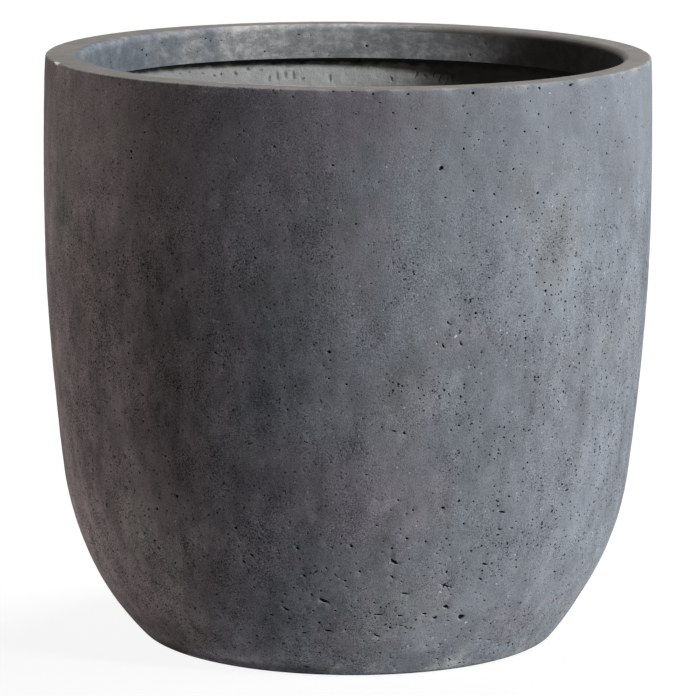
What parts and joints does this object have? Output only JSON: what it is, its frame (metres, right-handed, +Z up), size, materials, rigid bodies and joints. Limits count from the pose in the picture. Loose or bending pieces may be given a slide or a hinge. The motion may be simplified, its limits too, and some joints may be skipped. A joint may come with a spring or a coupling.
{
  "type": "round planter",
  "caption": "Round floor planter with a rounded body, small flat foot and inward lip, hand laid in fibre cement, with a rubber plug that lifts out of its drain hole.",
  "frame": {"origin": "middle of the flat base, on the ground", "axes": "+Z up along the planter's axis of revolution; the planter is round, so +X and +Y are any two level directions"},
  "size_m": [0.3999, 0.4, 0.386],
  "materials": {
    "face_coat": "charcoal pigmented cement face coat, matt, with pinholes",
    "backing_mix": "rough grey fibre cement, as laid",
    "glass_mat": "white glass-fibre mat",
    "plug_rubber": "matt black moulded rubber"
  },
  "bodies": {
    "pot": {"face_shell": "face_coat", "lip_core": "backing_mix", "mat_wall_strips": "glass_mat", "mat_floor_disc": "glass_mat", "backing_wall": "backing_mix", "floor_slab": "backing_mix"},
    "plug": {"drain_plug": "plug_rubber"}
  },
  "joints": [
    {"name": "plug_lift", "type": "slide", "parent": "pot", "child": "plug", "axis": [0, 0, 1], "range_m": [0, 0.4]}
  ]
}
